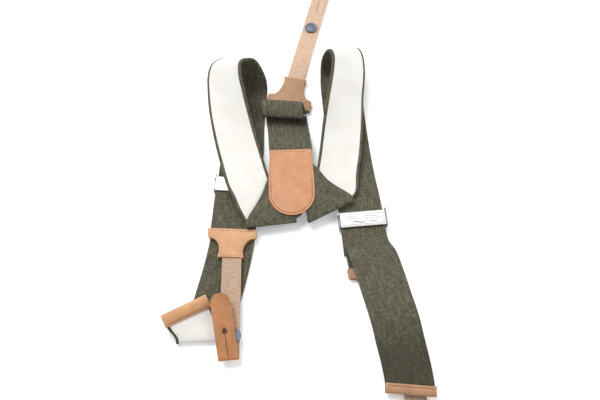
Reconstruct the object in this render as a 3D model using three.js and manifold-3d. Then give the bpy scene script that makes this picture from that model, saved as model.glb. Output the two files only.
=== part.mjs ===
import * as THREE from 'three';
import { mergeVertices } from 'three/addons/utils/BufferGeometryUtils.js';
import Module from 'manifold-3d';

// Suspenders laid on a table, seen from the front: x right, y away, z up, millimetres.
// The round end of the back patch points at the viewer, the rear stud strap points away.

const WEBBING_WIDTH = 39;
const WEBBING_THICKNESS = 1.5;
const LINING_WIDTH = 36;
const LINING_THICKNESS = 0.7;
const SEAM_GAP = 0.3;
const LEFT_BINDING_DEPTH = 8.2;
const RIGHT_BINDING_DEPTH = 5.2;
const SHORT_STRAP_THICKNESS = 1;

const TAB_WIDTH = 42.4;
const TAB_LEATHER = 1.2;
const SIDE_TAB_LENGTH = 26;
const REAR_TAB_LENGTH = 34;
const TAB_NECK_WIDTH = 22.6;
const SIDE_WING_DEPTH = 6.5;
const REAR_WING_DEPTH = 9.5;

const STUD_STRAP_WIDTH = 16.5;
const STUD_STRAP_THICKNESS = 1.6;
const HIDDEN_LENGTH = 9;
const STUD_FROM_NECK = 64;
const LEFT_STUD_FROM_NECK = 67.5;
const LEFT_STUD_ASIDE = 3.4;
const FOLD_FROM_NECK = 85;
const STRAP_FROM_NECK = 137;
const KEYHOLE_FROM_FOLD = 21;
const STUD_HEAD_RADIUS = 6.1;
const STUD_POST_RADIUS = 1.7;

const PATCH_TOP_WIDTH = 37.6;
const PATCH_WIDTH = 40.6;
const PATCH_LENGTH = 64.2;

const EAR_INSIDE = 20.3;
const EAR_THICKNESS = 0.9;
const PIN_RADIUS = 0.6;
const PIN_HOLE_RADIUS = 0.68;
const KNUCKLE_RADIUS = 1.3;
const PIN_Y = 5.2;
const PIN_Z = 8;
const BAR_RADIUS = 0.5;
const BAR_Y = -5.6;

const COLOURS = {
  webbing: 0x6e6b5a,
  lining: 0xf2eee8,
  leather: 0xdca27a,
  paleLeather: 0xd0ae94,
  steel: 0x8d98ac,
  plate: 0xe2e2de,
};

const wasm = await Module();
wasm.setup();

const vec = (x, y, z) => new THREE.Vector3(x, y, z);
const degrees = (angle) => THREE.MathUtils.degToRad(angle);

function material(colour, roughness, metalness) {
  return new THREE.MeshStandardMaterial({ color: colour, roughness, metalness });
}

function part(name, geometry, colour, roughness = 0.85, metalness = 0) {
  const mesh = new THREE.Mesh(geometry, material(colour, roughness, metalness));
  mesh.name = name;
  return mesh;
}

// ---- solids made by joining and cutting ----

function toManifold(geometry) {
  const bare = geometry.clone();
  bare.deleteAttribute('normal');
  bare.deleteAttribute('uv');
  const merged = mergeVertices(bare, 1e-4);
  const mesh = new wasm.Mesh({
    numProp: 3,
    vertProperties: new Float32Array(merged.attributes.position.array),
    triVerts: new Uint32Array(merged.index.array),
  });
  return new wasm.Manifold(mesh);
}

function fromManifold(solid) {
  const mesh = solid.getMesh();
  const geometry = new THREE.BufferGeometry();
  geometry.setAttribute('position', new THREE.BufferAttribute(new Float32Array(mesh.vertProperties), 3));
  geometry.setIndex(new THREE.BufferAttribute(new Uint32Array(mesh.triVerts), 1));
  geometry.computeVertexNormals();
  return geometry;
}

function join(...geometries) {
  const solids = geometries.map(toManifold);
  return fromManifold(wasm.Manifold.union(solids));
}

function cut(geometry, ...tools) {
  const cutter = wasm.Manifold.union(tools.map(toManifold));
  return fromManifold(toManifold(geometry).subtract(cutter));
}

function box(width, depth, height, x, y, z) {
  return new THREE.BoxGeometry(width, depth, height).translate(x, y, z);
}

// A round bar along x.
function rod(radius, length, x, y, z, sides = 20) {
  return new THREE.CylinderGeometry(radius, radius, length, sides).rotateZ(Math.PI / 2).translate(x, y, z);
}

// A flat sheet cut from leather: an outline in plan and a thickness.
function sheet(shape, bottom, thickness, segments = 10) {
  return new THREE.ExtrudeGeometry(shape, { depth: thickness, bevelEnabled: false, curveSegments: segments })
    .translate(0, 0, bottom);
}

// ---- straps ----

// One place along a strap: its middle, the direction across it in plan, its tilt, and the length across.
// The length differs from the strap's width only where the strap is folded at a slant.
function station(x, y, z, yaw = 0, tilt = 0, across = WEBBING_WIDTH) {
  const flat = Math.cos(degrees(tilt));
  const direction = vec(Math.cos(degrees(yaw)) * flat, Math.sin(degrees(yaw)) * flat, Math.sin(degrees(tilt)));
  return { middle: vec(x, y, z), direction, half: across / 2 };
}

function edges(stations) {
  const side = (sign) => {
    const points = stations.map((s) => s.middle.clone().addScaledVector(s.direction, sign * s.half));
    return new THREE.CatmullRomCurve3(points, false, 'centripetal');
  };
  return { left: side(-1), right: side(1) };
}

function closedLoft(rows) {
  const ring = rows[0].length;
  const positions = rows.flat().flatMap((p) => [p.x, p.y, p.z]);
  const index = [];
  for (let i = 0; i + 1 < rows.length; i += 1) {
    for (let j = 0; j < ring; j += 1) {
      const a = i * ring + j;
      const b = i * ring + ((j + 1) % ring);
      if (j < ring / 2) {
        index.push(a, b, b + ring, a, b + ring, a + ring);
      } else {
        index.push(a, b, a + ring, b, b + ring, a + ring);
      }
    }
  }
  const last = (rows.length - 1) * ring;
  for (let j = 1; j + 1 < ring; j += 1) {
    index.push(0, j + 1, j);
    index.push(last, last + j, last + j + 1);
  }
  const geometry = new THREE.BufferGeometry();
  geometry.setAttribute('position', new THREE.Float32BufferAttribute(positions, 3));
  geometry.setIndex(index);
  return volume(geometry) < 0 ? flipped(geometry) : geometry;
}

function volume(geometry) {
  const p = geometry.attributes.position;
  const index = geometry.index.array;
  let sum = 0;
  for (let i = 0; i < index.length; i += 3) {
    const [a, b, c] = [0, 1, 2].map((k) => vec(0, 0, 0).fromBufferAttribute(p, index[i + k]));
    sum += a.dot(b.cross(c)) / 6;
  }
  return sum;
}

function flipped(geometry) {
  const index = Array.from(geometry.index.array);
  for (let i = 0; i < index.length; i += 3) {
    [index[i + 1], index[i + 2]] = [index[i + 2], index[i + 1]];
  }
  geometry.setIndex(index);
  return geometry;
}

// A strap of the given thickness between two heights above its reference surface.
// inset narrows it at both edges.
function strap(stations, low, high, inset, perStation) {
  const { left, right } = edges(stations);
  const steps = (stations.length - 1) * perStation;
  const reach = 0.2 / steps;
  const rows = [];
  for (let i = 0; i <= steps; i += 1) {
    const t = i / steps;
    const before = Math.max(0, t - reach);
    const after = Math.min(1, t + reach);
    const l = left.getPoint(t);
    const r = right.getPoint(t);
    const across = r.clone().sub(l).normalize();
    const normalAt = (curve) => curve.getPoint(after).sub(curve.getPoint(before)).cross(across).normalize();
    const leftNormal = normalAt(left);
    const rightNormal = normalAt(right);
    l.addScaledVector(across, inset);
    r.addScaledVector(across, -inset);
    rows.push([
      l.clone().addScaledVector(leftNormal, low),
      r.clone().addScaledVector(rightNormal, low),
      r.clone().addScaledVector(rightNormal, high),
      l.clone().addScaledVector(leftNormal, high),
    ]);
  }
  const geometry = closedLoft(rows);
  geometry.computeVertexNormals();
  return geometry;
}

const webbing = (stations, perStation) => strap(
  stations, SEAM_GAP / 2, SEAM_GAP / 2 + WEBBING_THICKNESS, 0, perStation);
const lining = (stations, perStation) => strap(
  stations, -SEAM_GAP / 2 - LINING_THICKNESS, -SEAM_GAP / 2, (WEBBING_WIDTH - LINING_WIDTH) / 2, perStation);

// Left shoulder strap: out of the patch, folded under, up and over the loop, down through its adjuster,
// and the free end folded back up.
const LEFT_STRAP = [
  station(-10.2, 5.1, 12.8, -61, 0, 51),
  station(-13.2, -1.4, 12.8, -50, 0, 46.6),
  station(-17.1, -11.6, 12.9, -29, -0.3, 39.6),
  station(-25.1, -25.2, 13.1, 8, -3.3, 44.5),
  station(-24.8, -27.1, 12.1, 8, -3.3, 44.5),
  station(-24.8, -27.1, 10.6, 8, -3.3, 44.5),
  station(-25.1, -25.2, 9.6, 8, -3.3, 44.5),
  station(-36.7, -4.8, 10.6, 20, -5.6, 41),
  station(-41.2, 3, 12.3, 18, -7),
  station(-45.6, 10.9, 13.3, 16, -6),
  station(-52, 30.8, 14.2, 9, -2),
  station(-58.8, 54, 17.5, 2, 3),
  station(-64.9, 78.5, 23.5, -5, 11),
  station(-68.3, 97, 29.5, -12, 20),
  station(-69.9, 108, 33, -17, 25),
  station(-69.8, 116, 35.5, -21, 29),
  station(-68, 123, 36.6, -25, 33),
  station(-62, 129.5, 33.5, -29, 34),
  station(-55.3, 135.5, 23.2, -29, 30),
  station(-49.3, 127.8, 13.3, -27, 20),
  station(-49.5, 121.9, 5, -21, 6),
  station(-51.4, 110.9, 1.2, -10),
  station(-52.5, 96.7, 0.95, -2),
  station(-53.2, 78, 0.95, 0),
  station(-53.2, 50, 1, -1.5),
  station(-53.5, 42, 2, -3.9),
  station(-53.8, 37, 2.15, -3.9),
  station(-55.6, 12, 2.15, -3.9),
  station(-58.5, -34, 2.15, -3.9),
  station(-59.2, -42, 2, -5),
  station(-60.6, -51, 1.3, -7),
  station(-63.8, -68, 0.95, -11),
  station(-68.2, -88, 0.95, -13),
  station(-73.5, -109, 0.95, -14),
  station(-79.2, -123.5, 1, 1, 0, 40.6),
  station(-80.4, -127, 2.1, 3, 0, 40.6),
  station(-80.6, -127.6, 3.9, 3, 0, 40.6),
  station(-80.2, -126.4, 5.7, 3, 0, 40.6),
  station(-81.8, -122.5, 6.9, 5, -2, 40.4),
  station(-86.6, -115.6, 8, 16, -6),
  station(-90.4, -108.9, 10.5, 27, -4),
  station(-94.2, -102.3, 12.8, 27.5, -3),
];

// Right shoulder strap, the same way round. Its free end arches over the tab and ends at the viewer's side.
const RIGHT_STRAP = [
  station(7.6, 7, 12.8, 83.8, 0, 48.2),
  station(10.9, 2.8, 12.8, 76.7, 0, 46),
  station(15.7, -4.2, 12.8, 61.6, 0, 40),
  station(26.3, -13, 12.9, 27.6, 0.4, 45.6),
  station(27, -14.7, 12, 27.6, 0.4, 45.6),
  station(27, -14.7, 10.4, 27.6, 0.4, 45.6),
  station(26.3, -13, 9.4, 27.6, 0.6, 45.6),
  station(31.2, 0.5, 8.2, 11, 2, 41.5),
  station(33.6, 21, 8.6, 2, 1),
  station(36.6, 40, 11.6, 3, -3),
  station(38.9, 61, 16.2, 6, -9),
  station(40.6, 79, 22, 10, -17),
  station(42, 93, 26.5, 14, -23),
  station(43.8, 106, 30, 18, -24),
  station(45.1, 120, 33.4, 22, -26),
  station(44.6, 132, 35.6, 27, -29),
  station(42, 140, 34, 29, -30),
  station(38.8, 145.5, 24.5, 28, -28),
  station(36.9, 145.2, 12, 26, -18),
  station(38.1, 138.5, 3.6, 21, -5),
  station(39.2, 126, 0.95, 12),
  station(40.5, 110, 0.95, 4),
  station(42, 92, 0.95, 3),
  station(43.8, 68, 0.95, 5),
  station(46.6, 40, 0.95, 6),
  station(49.6, 17, 1.5, 6),
  station(51.4, 4, 3.3, 6),
  station(52.6, -6, 4.6, 5),
  station(53.4, -12, 4.75, 5),
  station(54.9, -21, 4.75, 5),
  station(56.4, -38, 4.75, 5),
  station(58.2, -45, 6, 7),
  station(61.8, -55, 10.6, 10, 0, 40),
  station(66.3, -74.5, 17.3, 13, 0, 39.6),
  station(71.4, -97, 21.5, 10.5),
  station(75.9, -114.5, 21.5, 9.5),
  station(79.3, -129.4, 17.5, 7),
  station(82.8, -142.4, 12.3, 4.4),
  station(85.3, -155.5, 9.2, 0.8),
  station(86.4, -167, 7.8, -4.5),
];

// Centre strap: from under the patch to the table, up into a slack hump, and into the rear tab.
const CENTRE_STRAP = [
  station(1.4, -9, 13.2, 0, 0, 1.6),
  station(-7.2, 28, 13.2, 1, 0, 27),
  station(-8.5, 34, 13.2, 2, 0, 36),
  station(-8.8, 47.5, 13, 2),
  station(-9.6, 56, 9.4, 1),
  station(-10.2, 64, 4.6, 0),
  station(-11.2, 73, 1.4, -1),
  station(-12.4, 81, 1.1, -2),
  station(-13.2, 85.6, 2.4, -3),
  station(-14, 85.8, 5.2, -4),
  station(-15.2, 81.2, 8.6, -4),
  station(-16, 80.6, 12.2, -4),
  station(-16.6, 86, 15.6, -4),
  station(-17, 93.5, 15, -4),
  station(-16.6, 97.6, 11, -5),
  station(-15, 94.6, 7.2, -8),
  station(-13.2, 91.2, 4.6, -11),
  station(-12.4, 93.6, 2.8, -12),
  station(-11, 99, 2.65, -12.4),
  station(-9.6, 105.4, 2.65, -12.4),
];

// ---- leather ----

// The winged tab in its own frame: wing edge on y = 0, neck towards -y.
function tabShape(length, depth) {
  const wing = TAB_WIDTH / 2;
  const neck = TAB_NECK_WIDTH / 2;
  const waist = neck - 1.2;
  const shape = new THREE.Shape();
  shape.moveTo(-wing, 0);
  shape.lineTo(-wing, -depth);
  shape.quadraticCurveTo(-wing + 0.4, -depth - 2.1, -wing + 3.4, -depth - 2.5);
  shape.bezierCurveTo(-waist - 1.5, -depth - 3.5, -waist, -length + 9, -waist, -length + 5);
  shape.lineTo(-neck, -length);
  shape.lineTo(neck, -length);
  shape.lineTo(waist, -length + 5);
  shape.bezierCurveTo(waist, -length + 9, waist + 1.5, -depth - 3.5, wing - 3.4, -depth - 2.5);
  shape.quadraticCurveTo(wing - 0.4, -depth - 2.1, wing, -depth);
  shape.lineTo(wing, 0);
  shape.closePath();
  return shape;
}

// The fixed half of a stud strap: the neck end on y = 0, the fold line at -FOLD_FROM_NECK.
// slant raises the fold line's right end. studAside is how far the stud stands right of the middle.
function fixedStrapShape(hidden, slant, studAside, studFromNeck) {
  const half = STUD_STRAP_WIDTH / 2;
  const rise = Math.tan(degrees(slant)) * half;
  const shape = new THREE.Shape();
  shape.moveTo(-half, hidden);
  shape.lineTo(-half, -FOLD_FROM_NECK - rise);
  shape.lineTo(half, -FOLD_FROM_NECK + rise);
  shape.lineTo(half, hidden);
  shape.closePath();
  const hole = new THREE.Path();
  hole.absarc(studAside, -studFromNeck, STUD_POST_RADIUS + 0.3, 0, Math.PI * 2, true);
  shape.holes.push(hole);
  return shape;
}

// The end half, laid out straight beyond the fold line: rounded tip, keyhole and slit.
function strapEndShape(slant) {
  const half = STUD_STRAP_WIDTH / 2;
  const rise = Math.tan(degrees(slant)) * half;
  const gap = 0.3;
  const length = STRAP_FROM_NECK - FOLD_FROM_NECK;
  const shape = new THREE.Shape();
  shape.moveTo(-half, -rise - gap);
  shape.lineTo(-half, -length + half + 1);
  shape.quadraticCurveTo(-half, -length, 0, -length);
  shape.quadraticCurveTo(half, -length, half, -length + half + 1);
  shape.lineTo(half, rise - gap);
  shape.closePath();
  const hole = new THREE.Path();
  const slit = 0.3;
  hole.moveTo(0, -KEYHOLE_FROM_FOLD - 3);
  hole.lineTo(2.3, -KEYHOLE_FROM_FOLD);
  hole.lineTo(slit, -KEYHOLE_FROM_FOLD + 2.6);
  hole.lineTo(slit, -3);
  hole.lineTo(-slit, -3);
  hole.lineTo(-slit, -KEYHOLE_FROM_FOLD + 2.6);
  hole.lineTo(-2.3, -KEYHOLE_FROM_FOLD);
  hole.closePath();
  shape.holes.push(hole);
  return shape;
}

// The U-shaped back patch, top edge on y = 0. margin makes the hidden rear leather smaller.
function patchShape(margin) {
  const top = PATCH_TOP_WIDTH / 2 - margin;
  const radius = PATCH_WIDTH / 2 - margin;
  const round = -PATCH_LENGTH + PATCH_WIDTH / 2;
  const shape = new THREE.Shape();
  shape.moveTo(-top, -margin / 3);
  shape.lineTo(-radius, round + 14);
  shape.lineTo(-radius, round);
  shape.absarc(0, round, radius, Math.PI, Math.PI * 2, false);
  shape.lineTo(radius, round + 14);
  shape.lineTo(top, -margin / 3);
  shape.closePath();
  return shape;
}

// Leather folded over a strap's end: a U profile carried across the strap.
function binding(stations, leg) {
  const [inner, end] = stations.slice(-2);
  const inside = (WEBBING_THICKNESS + SEAM_GAP + LINING_THICKNESS) / 2 + 0.3;
  const outside = inside + 1.1;
  const profile = new THREE.Shape();
  profile.moveTo(-leg, outside);
  profile.lineTo(0.4, outside);
  profile.quadraticCurveTo(0.4 + outside, outside, 0.4 + outside, 0);
  profile.quadraticCurveTo(0.4 + outside, -outside, 0.4, -outside);
  profile.lineTo(-leg, -outside);
  profile.lineTo(-leg, -inside);
  profile.lineTo(0.4, -inside);
  profile.lineTo(0.4, inside);
  profile.lineTo(-leg, inside);
  profile.closePath();
  const across = end.direction.clone();
  const along = end.middle.clone().sub(inner.middle);
  along.addScaledVector(across, -along.dot(across)).normalize();
  const normal = along.clone().cross(across).normalize();
  const width = WEBBING_WIDTH + 0.6;
  const layers = (WEBBING_THICKNESS - LINING_THICKNESS) / 2;
  const centre = end.middle.clone().addScaledVector(normal, layers);
  return new THREE.ExtrudeGeometry(profile, { depth: width, bevelEnabled: false, curveSegments: 5 })
    .translate(0, 0, -width / 2)
    .applyMatrix4(new THREE.Matrix4().makeBasis(along, normal, across.clone().negate()).setPosition(centre));
}

// ---- studs ----

// The head with its post; z = 0 is the strap's underside.
function studHead() {
  const top = STUD_STRAP_THICKNESS;
  const profile = [
    [0, 0.1],
    [STUD_POST_RADIUS, 0.1],
    [STUD_POST_RADIUS, top + 0.3],
    [2.9, top + 0.3],
    [2.9, top + 1.2],
    [STUD_HEAD_RADIUS - 0.6, top + 1.2],
    [STUD_HEAD_RADIUS, top + 1.7],
    [STUD_HEAD_RADIUS - 0.5, top + 2.3],
    [3.6, top + 2.8],
    [0, top + 2.9],
  ];
  const points = profile.map(([r, z]) => new THREE.Vector2(r, z));
  return new THREE.LatheGeometry(points, 28).rotateX(Math.PI / 2);
}

function studBase() {
  const points = [[0, -0.9], [3.9, -0.9], [4.3, -0.6], [4.3, -0.3], [0, -0.3]];
  return new THREE.LatheGeometry(points.map(([r, z]) => new THREE.Vector2(r, z)), 24).rotateX(Math.PI / 2);
}

// ---- adjusters, each in its own frame: hinge at +y, lower bar at -y ----

function earShape() {
  const shape = new THREE.Shape();
  shape.moveTo(-7.6, 0.2);
  shape.lineTo(-8, 6.6);
  shape.quadraticCurveTo(-7.8, 8.2, -6, 8.4);
  shape.lineTo(2.4, 8.6);
  shape.lineTo(4, 9.3);
  shape.lineTo(7.4, 9.3);
  shape.quadraticCurveTo(9, 8.8, 8.6, 6.6);
  shape.lineTo(7, 0.2);
  shape.closePath();
  return shape;
}

function adjusterFrame(barZ) {
  const toSide = new THREE.Matrix4().makeBasis(vec(0, 1, 0), vec(0, 0, 1), vec(1, 0, 0));
  const ear = (x) => new THREE.ExtrudeGeometry(
    earShape(), { depth: EAR_THICKNESS, bevelEnabled: false, curveSegments: 5 }).applyMatrix4(toSide).translate(x, 0, 0);
  const length = 2 * (EAR_INSIDE + EAR_THICKNESS);
  const body = join(
    box(length, 9.4, 0.8, 0, 2.1, 0.6),
    ear(EAR_INSIDE),
    ear(-EAR_INSIDE - EAR_THICKNESS),
    rod(BAR_RADIUS, length - 0.2, 0, BAR_Y, barZ),
  );
  return cut(body, rod(PIN_HOLE_RADIUS, length + 4, 0, PIN_Y, PIN_Z));
}

function adjusterPin() {
  const outer = EAR_INSIDE + EAR_THICKNESS + 0.1;
  const profile = [
    [0, -outer - 0.6],
    [1.2, -outer - 0.5],
    [1.3, -outer],
    [PIN_RADIUS, -outer],
    [PIN_RADIUS, outer],
    [1.3, outer],
    [1.2, outer + 0.5],
    [0, outer + 0.6],
  ];
  const points = profile.map(([r, z]) => new THREE.Vector2(r, z));
  return new THREE.LatheGeometry(points, 20).rotateZ(-Math.PI / 2).translate(0, PIN_Y, PIN_Z);
}

// The front plate: a flat plate, a rolled knuckle on the pin and a gripping edge down to the strap.
function adjusterLever(strapTop) {
  const width = 2 * EAR_INSIDE - 0.8;
  const plateDepth = PIN_Y + 7.6;
  const gripHeight = PIN_Z - strapTop - 0.3;
  const body = join(
    box(width, plateDepth, 0.8, 0, PIN_Y - plateDepth / 2, 8.9),
    rod(KNUCKLE_RADIUS, width, 0, PIN_Y, PIN_Z, 24),
    box(width - 3, 0.8, gripHeight, 0, PIN_Y - 0.9, PIN_Z - gripHeight / 2),
    box(width, 0.8, 1.1, 0, PIN_Y - plateDepth + 0.4, 8.75),
  );
  return cut(body, rod(PIN_HOLE_RADIUS, width + 4, 0, PIN_Y, PIN_Z, 24));
}

// The short strap: from inside the tab up to the bar, around it and back under itself.
function shortStrap(path, barZ, returnEnd) {
  const radius = BAR_RADIUS + 0.15 + SHORT_STRAP_THICKNESS / 2;
  const points = [...path, [BAR_Y - 1.2, barZ + radius]];
  for (let angle = 75; angle > -80; angle -= 30) {
    points.push([BAR_Y + radius * Math.cos(degrees(angle)), barZ + radius * Math.sin(degrees(angle))]);
  }
  points.push([BAR_Y - 1.2, barZ - radius], [returnEnd, barZ - radius]);
  return points;
}

// ---- placing ----

const group = new THREE.Group();
group.name = 'suspenders';

// heading is measured from the viewer's direction (-y), turning left to right.
function place(mesh, x, y, z, heading, drop = 0) {
  mesh.rotation.set(degrees(drop), 0, degrees(heading), 'ZYX');
  mesh.position.set(x, y, z);
  group.add(mesh);
  return mesh;
}

function ahead(point, heading, distance) {
  return [point[0] + Math.sin(degrees(heading)) * distance, point[1] - Math.cos(degrees(heading)) * distance];
}

group.add(part('left_shoulder_webbing', webbing(LEFT_STRAP, 2), COLOURS.webbing));
group.add(part('left_shoulder_lining', lining(LEFT_STRAP, 2), COLOURS.lining));
group.add(part('right_shoulder_webbing', webbing(RIGHT_STRAP, 2), COLOURS.webbing));
group.add(part('right_shoulder_lining', lining(RIGHT_STRAP, 2), COLOURS.lining));
group.add(part('centre_back_strap', strap(
  CENTRE_STRAP, -WEBBING_THICKNESS / 2, WEBBING_THICKNESS / 2, 0, 2), COLOURS.webbing));
group.add(part('left_end_binding', binding(LEFT_STRAP, LEFT_BINDING_DEPTH), COLOURS.leather, 0.6));
group.add(part('right_end_binding', binding(RIGHT_STRAP, RIGHT_BINDING_DEPTH), COLOURS.leather, 0.6));

const PATCH_TOP = [-8.7, 43];
const PATCH_HEADING = 2;
place(part('back_patch_rear', sheet(patchShape(6), 10.6, 1), COLOURS.leather, 0.6), ...PATCH_TOP, 0, PATCH_HEADING);
place(part('back_patch_front', sheet(patchShape(0), 14.8, 1.4, 16), COLOURS.leather, 0.6),
  ...PATCH_TOP, 0, PATCH_HEADING);

// One tab with its stud strap. base is the underside of the tab's back leather.
function tabAndStrap(side, options) {
  const { wing, base, tabHeading, tabLength, wingDepth, strapAside, strapHeading, drop, slant, foldAngle } = options;
  const { studAside, studFromNeck } = options;
  const shape = tabShape(tabLength, wingDepth);
  const strapBottom = base + TAB_LEATHER + 0.3;
  const frontBottom = strapBottom + STUD_STRAP_THICKNESS + 0.3;
  place(part(`${side}_tab_back`, sheet(shape, 0, TAB_LEATHER, 6), COLOURS.leather, 0.6), ...wing, base, tabHeading);
  place(part(`${side}_tab_front`, sheet(shape, 0, TAB_LEATHER, 6), COLOURS.leather, 0.6),
    ...wing, frontBottom, tabHeading);
  const neck = ahead(wing, tabHeading, tabLength);
  neck[0] += strapAside;
  const strapPart = (name, geometry, colour, roughness, metalness) => place(
    part(name, geometry, colour, roughness, metalness), ...neck, strapBottom, strapHeading, drop);
  strapPart(`${side}_stud_strap`, sheet(
    fixedStrapShape(HIDDEN_LENGTH, slant, studAside, studFromNeck), 0, STUD_STRAP_THICKNESS), COLOURS.paleLeather);
  const stud = (geometry) => geometry.translate(studAside, -studFromNeck, 0);
  strapPart(`${side}_stud_head`, stud(studHead()), COLOURS.steel, 0.35, 0.9);
  strapPart(`${side}_stud_base`, stud(studBase()), COLOURS.steel, 0.4, 0.9);
  const end = sheet(strapEndShape(slant), -STUD_STRAP_THICKNESS - 0.2, STUD_STRAP_THICKNESS, 8)
    .rotateZ(-degrees(slant))
    .rotateX(degrees(-foldAngle))
    .rotateZ(degrees(slant))
    .translate(0, -FOLD_FROM_NECK, STUD_STRAP_THICKNESS + 0.2);
  strapPart(`${side}_stud_strap_end`, end, COLOURS.leather, 0.6);
}

const LEFT_TAB = {
  wing: [-58.5, -31], base: 4.1, tabHeading: -2.1, tabLength: SIDE_TAB_LENGTH, wingDepth: SIDE_WING_DEPTH,
  strapAside: 1.2, strapHeading: 1.2, drop: -1.6, slant: 4.5, foldAngle: 168,
  studAside: LEFT_STUD_ASIDE, studFromNeck: LEFT_STUD_FROM_NECK,
};
const RIGHT_TAB = {
  wing: [61.2, -63.2], base: 0.3, tabHeading: 9, tabLength: SIDE_TAB_LENGTH, wingDepth: SIDE_WING_DEPTH,
  strapAside: 0, strapHeading: 17.3, drop: 0.4, slant: 0, foldAngle: 0,
  studAside: 0, studFromNeck: STUD_FROM_NECK,
};
const REAR_TAB = {
  wing: [-11.8, 95], base: 0.3, tabHeading: 167.4, tabLength: REAR_TAB_LENGTH, wingDepth: REAR_WING_DEPTH,
  strapAside: 0, strapHeading: 165.8, drop: 0.4, slant: 0, foldAngle: 0,
  studAside: 0, studFromNeck: STUD_FROM_NECK,
};
tabAndStrap('left', LEFT_TAB);
tabAndStrap('right', RIGHT_TAB);
tabAndStrap('rear', REAR_TAB);

// One adjuster with the short strap down to its tab. barZ is the lower bar's height.
function adjuster(side, options) {
  const { centre, heading, barZ, strapTop, path, bend, returnEnd } = options;
  const steel = [COLOURS.plate, 0.35, 0.85];
  place(part(`${side}_adjuster_frame`, adjusterFrame(barZ), ...steel), ...centre, 0, heading);
  place(part(`${side}_adjuster_pin`, adjusterPin(), ...steel), ...centre, 0, heading);
  place(part(`${side}_adjuster_plate`, adjusterLever(strapTop), ...steel), ...centre, 0, heading);
  const profile = shortStrap(path, barZ, returnEnd);
  const stations = profile.map(([y, z], i) => {
    const turn = i < bend.length ? bend[i] : 0;
    return station(i < bend.length ? turn.x : 0, y, z, turn.yaw ?? 0, 0, WEBBING_WIDTH);
  });
  const half = SHORT_STRAP_THICKNESS / 2;
  place(part(`${side}_short_strap`, strap(stations, -half, half, 0, 1), COLOURS.webbing), ...centre, 0, heading);
}

const LEFT_ADJUSTER = {
  centre: [-55.6, 12], heading: -3.9, barZ: 5.75, strapTop: 3.8,
  path: [[-52, 6.2], [-43, 6.2], [-30, 6.4], [-16, 6.8]], bend: [], returnEnd: -17,
};
const RIGHT_ADJUSTER = {
  centre: [54.9, -21], heading: 5, barZ: 1.95, strapTop: 6.4,
  path: [[-51, 2.4], [-42, 2.4], [-30, 2.6], [-16, 3]],
  bend: [{ x: 3.2, yaw: 4 }, { x: 2.5, yaw: 4 }, { x: 1.3, yaw: 3 }, { x: 0.3, yaw: 1 }], returnEnd: -31,
};
adjuster('left', LEFT_ADJUSTER);
adjuster('right', RIGHT_ADJUSTER);

// Stand the suspenders on z = 0 with the middle of their outline over the origin.
group.updateMatrixWorld(true);
const bounds = new THREE.Box3().setFromObject(group, true);
const middle = bounds.getCenter(vec(0, 0, 0));
group.children.forEach((mesh) => {
  mesh.position.sub(vec(middle.x, middle.y, bounds.min.z));
});
group.updateMatrixWorld(true);

export default group;
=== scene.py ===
import math
from math import radians

import bmesh
import bpy
from mathutils import Matrix, Vector


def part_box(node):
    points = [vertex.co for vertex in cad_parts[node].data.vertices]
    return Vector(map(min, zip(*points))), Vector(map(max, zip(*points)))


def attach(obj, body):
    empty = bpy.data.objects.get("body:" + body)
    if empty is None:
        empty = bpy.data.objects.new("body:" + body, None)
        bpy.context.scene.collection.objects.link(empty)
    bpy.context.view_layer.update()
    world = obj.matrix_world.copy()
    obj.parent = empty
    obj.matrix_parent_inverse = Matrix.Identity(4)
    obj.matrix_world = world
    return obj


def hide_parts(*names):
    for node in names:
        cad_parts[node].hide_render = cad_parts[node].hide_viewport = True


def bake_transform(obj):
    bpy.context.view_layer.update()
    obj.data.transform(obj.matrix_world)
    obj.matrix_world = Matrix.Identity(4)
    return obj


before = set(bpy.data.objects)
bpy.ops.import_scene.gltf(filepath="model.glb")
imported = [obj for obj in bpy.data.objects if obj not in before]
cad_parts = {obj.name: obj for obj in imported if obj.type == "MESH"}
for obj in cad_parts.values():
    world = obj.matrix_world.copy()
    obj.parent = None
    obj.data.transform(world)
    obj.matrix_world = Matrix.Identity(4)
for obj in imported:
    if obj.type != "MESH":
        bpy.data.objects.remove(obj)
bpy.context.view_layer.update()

# Suspenders laid on a table. Lengths below are in millimetres unless their name says otherwise.
# x runs to the right, y away from the viewer and z up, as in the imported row.

MM = 0.001

WEBBING_WIDTH = 39
WEBBING_THICKNESS = 1.5
LINING_WIDTH = 36
LINING_THICKNESS = 0.7
SEAM_GAP = 0.3
SHORT_STRAP_THICKNESS = 1

# The webbing's thick edge: how far it reaches in, and how far it stands over the lining.
SELVEDGE_WIDTH = 2.8
SELVEDGE_RISE = 0.25

TAB_WIDTH = 42.4
TAB_LEATHER = 1.2
SIDE_TAB_LENGTH = 26
REAR_TAB_LENGTH = 34
TAB_NECK_WIDTH = 22.6
SIDE_WING_DEPTH = 6.5
REAR_WING_DEPTH = 9.5

BINDING_DEPTH = {"left": 8.2, "right": 5.2}
BINDING_LEATHER = 1.2
BINDING_EASE = 0.15
BINDING_NOSE = 0.4
BINDING_OVERHANG = 0.6

STUD_STRAP_WIDTH = 16.5
STUD_STRAP_THICKNESS = 1.6
STUD_FROM_NECK = 64
FOLD_FROM_NECK = 85
STRAP_FROM_NECK = 137
KEYHOLE_FROM_FOLD = 21
HIDDEN_LENGTH = 9
BEND_RADIUS = 0.2

STUD_HEAD_RADIUS = 6.1
STUD_HEAD_RIM = 0.62
STUD_POST_RADIUS = 1.7
STUD_BASE_RADIUS = 4
STUD_BASE_MIDDLE = -0.6

PATCH_TOP_WIDTH = 37.6
PATCH_WIDTH = 40.6
PATCH_LENGTH = 64.2
PATCH_TAPER = 14
PATCH_FRONT_BOTTOM = 14.8
PATCH_FRONT_THICKNESS = 1.4
PATCH_REAR_BOTTOM = 10.6
PATCH_REAR_THICKNESS = 1
PATCH_REAR_INSET = 6

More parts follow.
